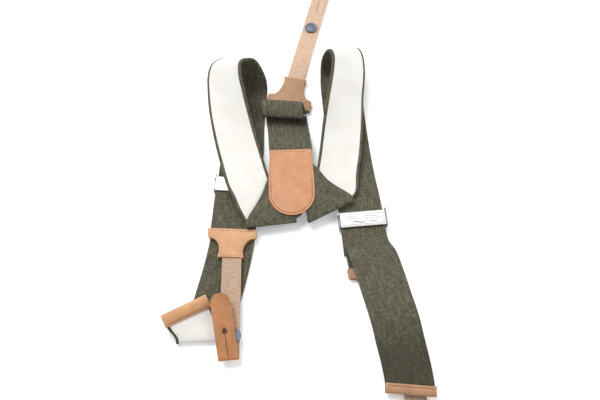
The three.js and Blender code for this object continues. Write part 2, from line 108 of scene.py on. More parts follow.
EAR_INSIDE = 20.3
PIN_Y = 5.2
PIN_Z = 8
KNUCKLE_RADIUS = 1.3
BAR_RADIUS = 0.5
BAR_Y = -5.6
BAR_EASE = 0.15
PLATE_SHEET = 0.56
PLATE_REACH = 12.8
PLATE_SIDE_GAP = 0.4

# Stitching: one stitch, the prick at each of its ends, and how far rows stand inside an edge.
STITCH_LENGTH = 1.7
STITCH_RADIUS = 0.24
PRICK_RADIUS = 0.36
SEAM_LIFT = 0.02
EDGE_TO_SEAM = 1.9
PATCH_EDGE_TO_SEAM = 2.1

# Camera, in the drawing's own frame: its place, how many degrees it looks down, and its lens.
CAMERA_PLACE = (0, -228.46, 513.13)
CAMERA_DROP = 66
CAMERA_LENS = 37.4
CAMERA_SENSOR = 36

# How far along a shoulder strap the painted shade on its end starts and stops getting darker.
END_SHADE_FROM = 470
END_SHADE_TO = 535

CREAM_DARK = (0.75, 0.725, 0.675)
CREAM_LIGHT = (0.81, 0.79, 0.75)


# ---- materials ----

class Nodes:
    """A short way to write a material's node tree."""

    def __init__(self, name):
        self.material = bpy.data.materials.new(name)
        self.material.use_nodes = True
        self.tree = self.material.node_tree
        self.shader = self.tree.nodes["Principled BSDF"]

    def add(self, kind, values=None, **settings):
        node = self.tree.nodes.new(kind)
        for key, value in settings.items():
            setattr(node, key, value)
        for key, value in (values or {}).items():
            node.inputs[key].default_value = value
        return node

    def link(self, source, target):
        self.tree.links.new(source, target)

    def feed(self, value, socket):
        """Links another node's output to a socket, or sets the socket to a plain value."""
        if isinstance(value, bpy.types.NodeSocket):
            self.link(value, socket)
        elif value is not None:
            socket.default_value = (*value, 1) if isinstance(value, tuple) else value

    def scaled(self, source, scale):
        mapping = self.add("ShaderNodeMapping", {"Scale": scale})
        self.link(source, mapping.inputs["Vector"])
        return mapping.outputs["Vector"]

    def place(self, scale=(1, 1, 1)):
        """The strap's or plate's own flat coordinates in millimetres, times scale along each axis."""
        return self.scaled(self.add("ShaderNodeUVMap", uv_map="flat").outputs["UV"], scale)

    def solid(self):
        """Object coordinates in millimetres."""
        return self.scaled(self.add("ShaderNodeTexCoord").outputs["Object"], (1 / MM,) * 3)

    def noise(self, vector, scale, detail, roughness):
        node = self.add("ShaderNodeTexNoise", {"Scale": scale, "Detail": detail, "Roughness": roughness})
        self.link(vector, node.inputs["Vector"])
        return node.outputs["Fac"]

    def wave(self, vector, scale, direction, distortion, detail=1.0, detail_scale=1.0):
        values = {"Scale": scale, "Distortion": distortion, "Detail": detail, "Detail Scale": detail_scale}
        node = self.add("ShaderNodeTexWave", values, wave_type="BANDS", bands_direction=direction)
        self.link(vector, node.inputs["Vector"])
        return node.outputs["Fac"]

    def ramp(self, value, stops):
        node = self.add("ShaderNodeValToRGB")
        elements = node.color_ramp.elements
        while len(elements) < len(stops):
            elements.new(0.5)
        for element, (position, colour) in zip(elements, stops):
            element.position = position
            element.color = (*colour, 1)
        self.link(value, node.inputs["Fac"])
        return node.outputs["Color"]

    def mix(self, factor, first, second):
        node = self.add("ShaderNodeMix", data_type="RGBA")
        for value, index in ((factor, 0), (first, 6), (second, 7)):
            self.feed(value, node.inputs[index])
        return node.outputs[2]

    def math(self, operation, first, second=None, clamp=False):
        node = self.add("ShaderNodeMath", operation=operation, use_clamp=clamp)
        self.feed(first, node.inputs[0])
        self.feed(second, node.inputs[1])
        return node.outputs[0]

    def times(self, first, second, clamp=False):
        return self.math("MULTIPLY", first, second, clamp)

    def plus(self, first, second):
        return self.math("ADD", first, second)

    def less(self, whole, value):
        """What is left of whole once value is taken off."""
        return self.math("SUBTRACT", whole, value)

    def above(self, value, level):
        """1 where value is above level, 0 elsewhere."""
        return self.math("GREATER_THAN", value, level)

    def bump(self, height, distance, strength=1.0):
        """Bump from a height; distance is in millimetres."""
        node = self.add("ShaderNodeBump", {"Strength": strength, "Distance": distance * MM})
        self.link(height, node.inputs["Height"])
        self.link(node.outputs["Normal"], self.shader.inputs["Normal"])

    def set(self, **values):
        for key, value in values.items():
            self.shader.inputs[key.replace("_", " ")].default_value = value

    def colour(self, socket):
        self.link(socket, self.shader.inputs["Base Color"])

    def roughness(self, value, low, high):
        node = self.add("ShaderNodeMapRange", {"To Min": low, "To Max": high})
        self.link(value, node.inputs["Value"])
        self.link(node.outputs["Result"], self.shader.inputs["Roughness"])


def shade(colour, share):
    return tuple(share * c for c in colour)


def webbing_material(name, dark, light, fleck):
    """Elastic webbing: ribs and rubber cords under a heathered yarn with slubs, streaks and light specks,
    with painted shade darkening a shoulder strap's end.
    """
    n = Nodes(name)
    flat = n.place()
    ribs = n.wave(flat, 0.30, "X", 1.2, 2, 0.8)
    cords = n.wave(flat, 0.22, "Y", 1.0, 2, 0.6)
    weave = n.times(ribs, cords)
    streak = n.noise(n.place((0.2, 1.1, 1)), 0.42, 4, 0.7)
    slub = n.noise(n.place((0.9, 0.4, 1)), 0.55, 4, 0.7)
    speck = n.noise(flat, 0.95, 3, 0.6)
    patches = n.noise(flat, 0.05, 3, 0.5)
    heather = n.plus(n.times(streak, 0.5), n.times(slub, 0.5))
    base = n.ramp(heather, ((0.37, dark), (0.5, fleck), (0.63, light)))
    base = n.mix(n.times(n.less(1.0, weave), 0.42), base, shade(dark, 0.42))
    base = n.mix(n.times(n.above(speck, 0.63), 0.5), base, shade(light, 1.35))
    base = n.mix(n.times(n.less(0.72, patches), 0.5, clamp=True), base, dark)
    # Painted shade: the colour darkens over the last stretch of a shoulder strap, standing in for the shade
    # where its end slopes away from the light.
    along = n.add("ShaderNodeSeparateXYZ")
    n.link(flat, along.inputs["Vector"])
    reach = {"From Min": END_SHADE_FROM, "From Max": END_SHADE_TO, "To Max": 0.62}
    painted_end_shade = n.add("ShaderNodeMapRange", reach, interpolation_type="SMOOTHSTEP")
    n.link(along.outputs["X"], painted_end_shade.inputs["Value"])
    n.colour(n.mix(painted_end_shade.outputs["Result"], base, shade(dark, 0.6)))
    n.bump(n.plus(weave, n.times(slub, 0.8)), 0.45)
    n.set(Roughness=0.95, Sheen_Weight=0.06, Sheen_Roughness=0.6, Specular_IOR_Level=0.15)
    return n.material


def lining_material():
    """Cream inner face: a soft brushed nap over a fine weave, a little grubby in places."""
    n = Nodes("cream_lining")
    flat = n.place()
    nap = n.noise(n.place((1.0, 2.5, 1)), 1.1, 4, 0.7)
    cloud = n.noise(flat, 0.05, 3, 0.5)
    weave = n.times(n.wave(flat, 0.3, "X", 0.4), n.wave(flat, 0.45, "Y", 0.4))
    base = n.ramp(cloud, ((0.3, CREAM_DARK), (0.7, CREAM_LIGHT)))
    n.colour(n.mix(n.times(n.less(1.0, nap), 0.22), base, shade(CREAM_DARK, 0.8)))
    n.bump(n.plus(n.times(nap, 0.8), n.times(weave, 0.5)), 0.26, 0.8)
    n.set(Roughness=0.95, Sheen_Weight=0.1, Sheen_Roughness=0.5, Specular_IOR_Level=0.15)
    return n.material


def leather_material(name, dark, light, edge, grain=1.0):
    """Smooth vegetable-tanned leather: pores, fine creases and paler wear along them."""
    n = Nodes(name)
    flat = n.place()
    cloud = n.noise(flat, 0.09, 4, 0.6)
    pores = n.add("ShaderNodeTexVoronoi", {"Scale": 1.9})
    n.link(flat, pores.inputs["Vector"])
    pore = n.times(pores.outputs["Distance"], 1.4, clamp=True)
    crease = n.noise(n.place((1, 0.35, 1)), 0.8, 5, 0.7)
    base = n.ramp(cloud, ((0.3, dark), (0.72, light)))
    base = n.mix(n.times(n.less(1.0, pore), 0.2), base, shade(dark, 0.6))
    n.colour(n.mix(n.times(n.above(crease, 0.66), 0.18), base, edge))
    n.roughness(crease, 0.42, 0.62)
    n.bump(n.plus(n.times(pore, 0.5), crease), 0.12 * grain, 0.8)
    n.set(Specular_IOR_Level=0.45, Coat_Weight=0.08, Coat_Roughness=0.4)
    return n.material


def flesh_material(name, tone):
    """The pale flesh side of a leather strap, wrinkled across its length. tone sets how light it is."""
    n = Nodes(name)
    wrinkle = n.noise(n.place((0.22, 1.0, 1)), 0.9, 4, 0.6)
    flat = n.place()
    fibre = n.noise(flat, 1.6, 4, 0.7)
    cloud = n.noise(flat, 0.08, 3, 0.5)
    shades = ((0.32, (0.40, 0.25, 0.165)), (0.5, (0.60, 0.41, 0.29)), (0.7, (0.71, 0.53, 0.41)))
    base = n.ramp(wrinkle, [(stop, shade(colour, tone)) for stop, colour in shades])
    base = n.mix(n.times(cloud, 0.4), base, shade((0.69, 0.50, 0.38), tone))
    base = n.mix(n.times(n.less(1.0, fibre), 0.2), base, shade((0.37, 0.225, 0.14), tone))
    n.colour(base)
    n.bump(n.plus(wrinkle, n.times(fibre, 0.35)), 0.4, 0.9)
    n.set(Roughness=0.82, Specular_IOR_Level=0.2, Sheen_Weight=0.15)
    return n.material


def edge_material():
    """The burnished cut edge of the leather."""
    n = Nodes("leather_edge")
    grain = n.noise(n.solid(), 0.9, 4, 0.7)
    n.colour(n.ramp(grain, ((0.3, (0.36, 0.17, 0.08)), (0.7, (0.60, 0.34, 0.19)))))
    n.bump(grain, 0.15, 0.6)
    n.set(Roughness=0.5, Specular_IOR_Level=0.4)
    return n.material


def thread_material(name, dark, light):
    """Twisted sewing thread."""
    n = Nodes(name)
    twist = n.noise(n.solid(), 2.2, 3, 0.6)
    n.colour(n.ramp(twist, ((0.35, dark), (0.65, light))))
    n.bump(twist, 0.08, 0.8)
    n.set(Roughness=0.7, Sheen_Weight=0.2)
    return n.material


def metal_material(name, dark, light, low, high, metallic):
    """Metal with faint tarnish, and fine scratches that vary its roughness from low to high."""
    n = Nodes(name)
    place = n.solid()
    tarnish = n.noise(place, 0.25, 4, 0.6)
    scratch = n.noise(place, 2.8, 2, 0.5)
    n.colour(n.ramp(tarnish, ((0.3, dark), (0.7, light))))
    n.roughness(scratch, low, high)
    n.bump(scratch, 0.03, 0.5)
    n.set(Metallic=metallic)
    return n.material


def floor_material():
    """The pale table, lit enough from itself to read as white."""
    n = Nodes("pale_floor")
    speckle = n.noise(n.solid(), 0.02, 2, 0.5)
    n.colour(n.ramp(speckle, ((0.2, (0.90, 0.905, 0.91)), (0.8, (0.92, 0.925, 0.93)))))
    n.set(Roughness=0.9, Specular_IOR_Level=0.1, Emission_Color=(0.93, 0.97, 1, 1), Emission_Strength=0.24)
    return n.material


OLIVE = webbing_material("olive_webbing", (0.066, 0.060, 0.038), (0.265, 0.250, 0.170), (0.148, 0.138, 0.092))
CREAM = lining_material()
TAN = leather_material("tan_leather", (0.45, 0.19, 0.078), (0.575, 0.272, 0.125), (0.68, 0.40, 0.23))
# Lit and shaded copies of the tan leather: painted light on the left tab and binding, painted shade on the
# right tab and binding; the shaded copy also covers the rear tab.
LIT_TAN = leather_material("tan_leather_painted_light", (0.50, 0.24, 0.105), (0.64, 0.345, 0.165), (0.74, 0.47, 0.29))
SHADE_TAN = leather_material("tan_leather_painted_shade", (0.35, 0.18, 0.09), (0.46, 0.262, 0.142), (0.56, 0.36, 0.22))
SIDE_TAN = {"left": LIT_TAN, "right": SHADE_TAN, "rear": SHADE_TAN}
GRAIN = leather_material("strap_grain_leather", (0.34, 0.132, 0.043), (0.51, 0.222, 0.085),
                         (0.60, 0.30, 0.135), grain=1.4)
# One flesh side at three brightnesses: darkest on the left strap, lighter on the right one and lightest on
# the rear one.
FLESH = {
    "left": flesh_material("left_darker_flesh_side", 0.78),
    "right": flesh_material("right_flesh_side", 0.86),
    "rear": flesh_material("flesh_side_leather", 0.97),
}
EDGE = edge_material()
# The pricked holes' dark colour is painted shade for the depth of the holes.
HOLE_SHADE = leather_material("pricked_hole_painted_shade", (0.17, 0.055, 0.02), (0.26, 0.09, 0.035), (0.3, 0.12, 0.05))
TAN_THREAD = thread_material("tan_thread", (0.66, 0.42, 0.24), (0.86, 0.66, 0.46))
BROWN_THREAD = thread_material("brown_thread", (0.20, 0.05, 0.02), (0.36, 0.12, 0.05))
CREAM_THREAD = thread_material("cream_thread", (0.55, 0.48, 0.36), (0.80, 0.74, 0.62))
STUD_METAL = metal_material("stud_steel", (0.115, 0.13, 0.17), (0.19, 0.215, 0.27), 0.5, 0.68, 0.75)
NICKEL = metal_material("nickel_plating", (0.69, 0.69, 0.67), (0.76, 0.76, 0.74), 0.3, 0.46, 0.35)
DARK_NICKEL = metal_material("frame_plating", (0.16, 0.16, 0.17), (0.34, 0.34, 0.35), 0.3, 0.5, 0.9)
ENGRAVING = metal_material("engraving", (0.05, 0.05, 0.05), (0.13, 0.13, 0.125), 0.6, 0.8, 0.1)


# ---- placing ----

def placed(x, y, z, heading, drop=0.0):
    """A frame at a place. heading turns its -y axis from the viewer to the right; drop lowers its -y end."""
    turn = Matrix.Rotation(radians(heading), 4, "Z") @ Matrix.Rotation(radians(drop), 4, "X")
    return Matrix.Translation((x, y, z)) @ turn


def ahead(point, heading, distance):
    """The point a distance away along a heading."""
    turn = radians(heading)
    return point[0] + math.sin(turn) * distance, point[1] - math.cos(turn) * distance


def fixed_body(side):
    """The body that carries a tab and the fixed half of its stud strap."""
    return "straps" if side == "rear" else f"{side}_slider"


# Each tab: the middle of its wing edge, the height of its underside, its heading, length and wing depth.
# Then its stud strap: how far aside it starts, its heading and drop, and the slant and angle of its fold.
# The stud's place is its distance aside and from the neck.
TABS = {
    "left": {
        "wing": (-58.5, -31), "base": 4.1, "tab": -2.1, "length": SIDE_TAB_LENGTH, "depth": SIDE_WING_DEPTH,
        "aside": 1.2, "strap": 1.2, "drop": -1.6, "slant": 4.5, "fold": 168, "stud": (3.4, 67.5),
    },
    "right": {
        "wing": (61.2, -63.2), "base": 0.3, "tab": 9, "length": SIDE_TAB_LENGTH, "depth": SIDE_WING_DEPTH,
        "aside": 0, "strap": 17.3, "drop": 0.4, "slant": 0, "fold": 0, "stud": (0, STUD_FROM_NECK),
    },
    "rear": {
        "wing": (-11.8, 95), "base": 0.3, "tab": 167.4, "length": REAR_TAB_LENGTH, "depth": REAR_WING_DEPTH,
        "aside": 0, "strap": 165.8, "drop": 0.4, "slant": 0, "fold": 0, "stud": (0, STUD_FROM_NECK),
    },
}
# Each adjuster: its middle, its heading, its lower bar's height, and the top of the strap under its plate.
ADJUSTERS = {
    "left": {"centre": (-55.6, 12), "heading": -3.9, "bar_z": 5.75, "strap_top": 3.8},
    "right": {"centre": (54.9, -21), "heading": 5, "bar_z": 1.95, "strap_top": 6.4},
}
PATCH_FRAME = placed(-8.7, 43, 0, 2)


def strap_frame(side):
    """The stud strap's own frame: neck end on y = 0, running towards -y, underside on z = 0."""
    t = TABS[side]
    x, y = ahead(t["wing"], t["tab"], t["length"])
    return placed(x + t["aside"], y, t["base"] + TAB_LEATHER + SEAM_GAP, t["strap"], t["drop"])


def shift_to_row():
    """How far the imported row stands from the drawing's own frame, from where the rear stud's base is."""
    low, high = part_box("rear_stud_base")
    drawn = strap_frame("rear") @ Vector((0, -STUD_FROM_NECK, STUD_BASE_MIDDLE))
    return (low + high) / 2 / MM - drawn


SHIFT = shift_to_row()
TO_ROW = Matrix.Scale(MM, 4) @ Matrix.Translation(SHIFT)


# ---- making pieces ----

def new_object(name, data):
    obj = bpy.data.objects.new(name, data)
    bpy.context.scene.collection.objects.link(obj)
    return obj


def piece(name, mesh, materials, body, replaces=(), matrix=None, ride=True, sharp=None):
    """A finished piece from a mesh in millimetres in the drawing's frame, or in matrix's frame.
    Edges sharper than sharp degrees stay crisp."""
    mesh.transform(TO_ROW @ (matrix or Matrix.Identity(4)))
    obj = new_object(name, mesh)
    for material in materials if isinstance(materials, (list, tuple)) else [materials]:
        mesh.materials.append(material)
    mesh.shade_smooth()
    if sharp:
        mesh.set_sharp_from_angle(angle=radians(sharp))
    if ride:
        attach(obj, body)
    if replaces:
        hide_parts(*replaces)
    return obj


def to_mesh(bm, name):
    """The mesh of a bmesh, with its faces turned outwards."""
    bmesh.ops.recalc_face_normals(bm, faces=bm.faces)
    mesh = bpy.data.meshes.new(name)
    bm.to_mesh(mesh)
    bm.free()
    return mesh


def bridge(bm, first, second):
    """Faces between two closed rings of as many corners."""
    for k in range(len(first)):
        n = (k + 1) % len(first)
        bm.faces.new((first[k], first[n], second[n], second[k]))


def sweep(name, rings, coords):
    """A closed mesh through rings of corners. coords gives each ring's flat coordinates, its first corner's
    again at the end of the row."""
    bm = bmesh.new()
    flat = bm.loops.layers.uv.new("flat")
    rings = [[bm.verts.new(corner) for corner in ring] for ring in rings]
    count = len(rings[0])
    for i in range(len(rings) - 1):
        for j in range(count):
            k = (j + 1) % count
            face = bm.faces.new((rings[i][j], rings[i][k], rings[i + 1][k], rings[i + 1][j]))
            for loop, (a, b) in zip(face.loops, ((i, j), (i, j + 1), (i + 1, j + 1), (i + 1, j))):
                loop[flat].uv = coords[a][b]
    for ring, coord in ((rings[0], coords[0]), (rings[-1], coords[-1])):
        face = bm.faces.new(ring)
        for loop, uv in zip(face.loops, coord):
            loop[flat].uv = uv
        bmesh.ops.triangulate(bm, faces=[face])
    return to_mesh(bm, name)


def lay_flat(bm, sort):
    """Gives each corner its x and y as flat coordinates, and each face the material that sort picks from how
    far the face looks up."""
    flat = bm.loops.layers.uv.new("flat")
    for f in bm.faces:
        f.material_index = sort(f.normal.z)
        for loop in f.loops:
            loop[flat].uv = loop.vert.co.xy


# ---- straps ----

def station(x, y, z, yaw=0.0, tilt=0.0, across=WEBBING_WIDTH):
    """One place along a strap: its middle, the direction across it, and half the length across."""
    turn, rise = radians(yaw), radians(tilt)
    direction = Vector((math.cos(turn) * math.cos(rise), math.sin(turn) * math.cos(rise), math.sin(rise)))
    return Vector((x, y, z)), direction, across / 2


def curve_point(points, t):
    """A point of the centripetal Catmull-Rom curve through points, with t running from 0 to 1."""
    place = max(0.0, min(1.0, t)) * (len(points) - 1)
    k = min(int(place), len(points) - 2)
    u = place - k
    p1, p2 = points[k], points[k + 1]
    p0 = points[k - 1] if k > 0 else p1 * 2 - p2
    p3 = points[k + 2] if k + 2 < len(points) else p2 * 2 - p1
    d0, d1, d2 = (max((b - a).length ** 0.5, 1e-4) for a, b in ((p0, p1), (p1, p2), (p2, p3)))
    m1 = ((p1 - p0) / d0 - (p2 - p0) / (d0 + d1) + (p2 - p1) / d1) * d1
    m2 = ((p2 - p1) / d1 - (p3 - p1) / (d1 + d2) + (p3 - p2) / d2) * d1
    u2, u3 = u * u, u * u * u
    return p1 * (2 * u3 - 3 * u2 + 1) + m1 * (u3 - 2 * u2 + u) + p2 * (3 * u2 - 2 * u3) + m2 * (u3 - u2)


def strap_rows(stations, per_station):
    """Along a strap: left edge, right edge, both normals, and the distance gone, at each step."""
    left = [middle - across * half for middle, across, half in stations]
    right = [middle + across * half for middle, across, half in stations]
    steps = (len(stations) - 1) * per_station
    reach = 0.2 / (len(stations) - 1)
    rows, gone, last = [], 0.0, None
    for i in range(steps + 1):
        t = i / steps
        l, r = curve_point(left, t), curve_point(right, t)
        across = (r - l).normalized()
        ways = [curve_point(side, t + reach) - curve_point(side, t - reach) for side in (left, right)]
        normals = [way.cross(across).normalized() for way in ways]
        middle = (l + r) / 2
        gone += (middle - last).length if last else 0.0
        last = middle
        rows.append((l, r, *normals, gone))
    return rows


RIM_TURNS = 6
ACROSS_STEPS = 18


def round_edge(low, high, depth):
    """Half the outline of a rounded edge: how far in from the edge, and the height, from high down to low."""
    angles = [math.pi * i / RIM_TURNS for i in range(RIM_TURNS + 1)]
    return [(depth * (1 - math.sin(a)), (high + low) / 2 + (high - low) / 2 * math.cos(a)) for a in angles]


def band_section(low, high, edge):
    """A strip's outline: share of the width, distance in from the left edge, and height.
    edge lists the right edge's points from the top to the underside."""
    first, last = edge[0][0], edge[-1][0]
    shares = [j / ACROSS_STEPS for j in range(1, ACROSS_STEPS)]
    top = [(share, first * (1 - 2 * share), high) for share in shares]
    right = [(1.0, -inwards, height) for inwards, height in edge]
    under = [(share, last * (1 - 2 * share), low) for share in reversed(shares)]
    left = [(0.0, inwards, height) for inwards, height in reversed(edge)]
    return top + right + under + left


def rolled_edge(low, high):
    """The thick woven selvedge that stands over the lining's edge on the inner face."""
    under = -SEAM_GAP / 2 - LINING_THICKNESS - SELVEDGE_RISE
    wide = SELVEDGE_WIDTH
    points = round_edge(under, high + 0.08, 0.9)
    return points + [(wide - 0.35, under + 0.05), (wide, under + 0.45), (wide + 0.1, low)]


def strip(name, stations, low, high, inset=0.0, per_station=6, wave=0.0, edge=None):
    """A closed strip between two heights over its reference surface, and its length.
    wave is the height of its faint ripples, one slow and one quick along the strip."""
    rows = strap_rows(stations, per_station)
    section = band_section(low, high, edge or round_edge(low, high, (high - low) * 0.45))
    rings, coords = [], []
    for left, right, left_normal, right_normal, gone in rows:
        across = (right - left).normalized()
        width = (right - left).length - 2 * inset
        ring, coord = [], []
        for share, aside, height in section:
            x = share * width + aside
            normal = left_normal.lerp(right_normal, share).normalized()
            ripple = wave * math.sin(gone * 0.21 + 5 * share) * math.sin(gone * 0.083 + 2.2 * share + 1)
            ripple += wave * 0.4 * math.sin(gone * 0.47 + 9 * share)
            ring.append(left + across * (inset + x) + normal * (height + ripple))
            coord.append((gone, x + inset))
        rings.append(ring)
        coords.append(coord + coord[:1])
    return sweep(name, rings, coords), rows[-1][4]


# Left shoulder strap: out of the patch, folded under, up and over the loop, down through its adjuster,
# and the free end folded back up.
LEFT_STRAP = [station(*values) for values in (
    (-10.2, 5.1, 12.8, -61, 0, 51),
    (-13.2, -1.4, 12.8, -50, 0, 46.6),
    (-17.1, -11.6, 12.9, -29, -0.3, 39.6),
    (-25.1, -25.2, 13.1, 8, -3.3, 44.5),
    (-24.8, -27.1, 12.1, 8, -3.3, 44.5),
    (-24.8, -27.1, 10.6, 8, -3.3, 44.5),
    (-25.1, -25.2, 9.6, 8, -3.3, 44.5),
    (-36.7, -4.8, 10.6, 20, -5.6, 41),
    (-41.2, 3, 12.3, 18, -7),
    (-45.6, 10.9, 13.3, 16, -6),
    (-52, 30.8, 14.2, 9, -2),
    (-58.8, 54, 17.5, 2, 3),
    (-64.9, 78.5, 23.5, -5, 11),
    (-68.3, 97, 29.5, -12, 20),
    (-69.9, 108, 33, -17, 25),
    (-69.8, 116, 35.5, -21, 29),
    (-68, 123, 36.6, -25, 33),
    (-62, 129.5, 33.5, -29, 34),
    (-55.3, 135.5, 23.2, -29, 30),
    (-49.3, 127.8, 13.3, -27, 20),
    (-49.5, 121.9, 5, -21, 6),
    (-51.4, 110.9, 1.2, -10),
    (-52.5, 96.7, 0.95, -2),
    (-53.2, 78, 0.95, 0),
    (-53.2, 50, 1, -1.5),
    (-53.5, 42, 2, -3.9),
    (-53.8, 37, 2.15, -3.9),
    (-55.6, 12, 2.15, -3.9),
    (-58.5, -34, 2.15, -3.9),
    (-59.2, -42, 2, -5),
    (-60.6, -51, 1.3, -7),
    (-63.8, -68, 0.95, -11),
    (-68.2, -88, 0.95, -13),
    (-73.5, -109, 0.95, -14),
    (-79.2, -123.5, 1, 1, 0, 40.6),
    (-80.4, -127, 2.1, 3, 0, 40.6),
    (-80.6, -127.6, 3.9, 3, 0, 40.6),
    (-80.2, -126.4, 5.7, 3, 0, 40.6),
    (-81.8, -122.5, 6.9, 5, -2, 40.4),
    (-86.6, -115.6, 8, 16, -6),
    (-90.4, -108.9, 10.5, 27, -4),
    (-94.2, -102.3, 12.8, 27.5, -3),
)]

# Right shoulder strap, the same way round. Its free end arches over the tab and ends at the viewer's side.
RIGHT_STRAP = [station(*values) for values in (
    (7.6, 7, 12.8, 83.8, 0, 48.2),
    (10.9, 2.8, 12.8, 76.7, 0, 46),
    (15.7, -4.2, 12.8, 61.6, 0, 40),
    (26.3, -13, 12.9, 27.6, 0.4, 45.6),
    (27, -14.7, 12, 27.6, 0.4, 45.6),
    (27, -14.7, 10.4, 27.6, 0.4, 45.6),
    (26.3, -13, 9.4, 27.6, 0.6, 45.6),
    (31.2, 0.5, 8.2, 11, 2, 41.5),
    (33.6, 21, 8.6, 2, 1),
    (36.6, 40, 11.6, 3, -3),
    (38.9, 61, 16.2, 6, -9),
    (40.6, 79, 22, 10, -17),
    (42, 93, 26.5, 14, -23),
    (43.8, 106, 30, 18, -24),
    (45.1, 120, 33.4, 22, -26),
    (44.6, 132, 35.6, 27, -29),
    (42, 140, 34, 29, -30),
    (38.8, 145.5, 24.5, 28, -28),
    (36.9, 145.2, 12, 26, -18),
    (38.1, 138.5, 3.6, 21, -5),
    (39.2, 126, 0.95, 12),
    (40.5, 110, 0.95, 4),
    (42, 92, 0.95, 3),
    (43.8, 68, 0.95, 5),
    (46.6, 40, 0.95, 6),
    (49.6, 17, 1.5, 6),
    (51.4, 4, 3.3, 6),
    (52.6, -6, 4.6, 5),
    (53.4, -12, 4.75, 5),
    (54.9, -21, 4.75, 5),
    (56.4, -38, 4.75, 5),
    (58.2, -45, 6, 7),
    (61.8, -55, 10.6, 10, 0, 40),
    (66.3, -74.5, 17.3, 13, 0, 39.6),
    (71.4, -97, 21.5, 10.5),
    (75.9, -114.5, 21.5, 9.5),
    (79.3, -129.4, 17.5, 7),
    (82.8, -142.4, 12.3, 4.4),
    (85.3, -155.5, 9.2, 0.8),
    (86.4, -167, 7.8, -4.5),
)]

# Centre strap: from under the patch to the table, up into a slack hump, and into the rear tab.
CENTRE_STRAP = [station(*values) for values in (
    (1.4, -9, 13.2, 0, 0, 1.6),
    (-7.2, 28, 13.2, 1, 0, 27),
    (-8.5, 34, 13.2, 2, 0, 36),
    (-8.8, 47.5, 13, 2),
    (-9.6, 56, 9.4, 1),
    (-10.2, 64, 4.6, 0),
    (-11.2, 73, 1.4, -1),
    (-12.4, 81, 1.1, -2),
    (-13.2, 85.6, 2.4, -3),
    (-14, 85.8, 5.2, -4),
    (-15.2, 81.2, 8.6, -4),
    (-16, 80.6, 12.2, -4),
    (-16.6, 86, 15.6, -4),
    (-17, 93.5, 15, -4),
    (-16.6, 97.6, 11, -5),
    (-15, 94.6, 7.2, -8),
    (-13.2, 91.2, 4.6, -11),
    (-12.4, 93.6, 2.8, -12),
    (-11, 99, 2.65, -12.4),
    (-9.6, 105.4, 2.65, -12.4),
)]


def sheet(name, node, rests_on, stations, low, high, material=OLIVE, slot="webbing", width=WEBBING_WIDTH,
          body="straps", matrix=None, **shape):
    """A strip made into a finished piece."""
    mesh, length = strip(name, stations, low, high, (WEBBING_WIDTH - width) / 2, **shape)
    obj = piece(name, mesh, material, body, [node], matrix)


def shoulder_strap(side, stations):
    """The olive webbing of one shoulder strap and the cream lining sewn under it."""
    touch = 0.02
    high = SEAM_GAP / 2 + WEBBING_THICKNESS
    low = -SEAM_GAP / 2 - LINING_THICKNESS
    web, inner = f"{side}_webbing", f"{side}_shoulder_lining"
    sheet(web, f"{side}_shoulder_webbing", inner, stations, touch, high, wave=0.07,
          edge=rolled_edge(touch, high))
    sheet(f"{side}_lining", inner, web, stations, low, -touch, CREAM, "lining", LINING_WIDTH, wave=0.07)


def centre_strap():
    """The plain strap between the patch and the rear tab."""
    half = WEBBING_THICKNESS / 2
    sheet("centre_strap", "centre_back_strap", "rear_tab_back", CENTRE_STRAP, -half, half, per_station=8,
          wave=0.05)


# ---- leather plates ----

def arc_profile(centre, radius, start, finish, steps):
    """Points of an arc between two angles in degrees."""
    angles = [radians(start + (finish - start) * i / steps) for i in range(steps + 1)]
    return [(centre[0] + radius * math.cos(a), centre[1] + radius * math.sin(a)) for a in angles]


def curve_points(points, steps):
    """Points of a quadratic or cubic Bezier curve after its first point."""
    made = []
    for i in range(1, steps + 1):
        t = i / steps
        u = 1 - t
        weights = (u * u, 2 * u * t, t * t)
        if len(points) == 4:
            weights = (u ** 3, 3 * u * u * t, 3 * u * t * t, t ** 3)
        made.append(tuple(sum(w * p[k] for w, p in zip(weights, points)) for k in range(2)))
    return made


def tab_outline(length, depth):
    """The winged tab: wing edge on y = 0, neck towards -y."""
    wing = TAB_WIDTH / 2
    neck = TAB_NECK_WIDTH / 2
    waist = neck - 1.2
    low = -depth - 2.5
    corner = ((-wing, -depth), (-wing + 0.4, low + 0.4), (-wing + 3.4, low))
    side = ((-wing + 3.4, low), (-waist - 1.5, low - 1), (-waist, -length + 9), (-waist, -length + 5))
    half = [(-wing, 0), (-wing, -depth)]
    half += curve_points(corner, 6) + curve_points(side, 14)
    half.append((-neck, -length))
    return half + [(-x, y) for x, y in reversed(half)]


def patch_outline(margin):
    """The U-shaped back patch, top edge on y = 0."""
    top = PATCH_TOP_WIDTH / 2 - margin
    radius = PATCH_WIDTH / 2 - margin
    middle = -PATCH_LENGTH + PATCH_WIDTH / 2
    bow = arc_profile((0, middle), radius, 180, 360, 36)
    taper = middle + PATCH_TAPER
    return [(-top, -margin), (-radius, taper), *bow, (radius, taper), (top, -margin)]


def offset(outline, distance):
    """The closed outline moved inwards by distance."""
    area = sum(a[0] * b[1] - b[0] * a[1] for a, b in zip(outline, outline[1:] + outline[:1]))
    sign = 1 if area > 0 else -1
    moved = []
    for before, here, after in zip(outline[-1:] + outline[:-1], outline, outline[1:] + outline[:1]):
        a = (Vector(here) - Vector(before)).normalized()
        b = (Vector(after) - Vector(here)).normalized()
        normal = Vector((-(a.y + b.y), a.x + b.x)).normalized() * sign
        spread = max(0.5, normal.dot(Vector((-a.y, a.x)) * sign))
        moved.append(tuple(Vector(here) + normal * (distance / spread)))
    return moved


# A plate's rounded rim, then the line pressed in for its stitches, as steps inwards and up.
RIM_STEPS = ((0.1, 0.16), (0.14, 0.1), (0.2, 0.04))
GROOVE_STEPS = ((1.05, 0.0), (0.3, -0.13), (0.3, 0.13), (1.2, 0.06))


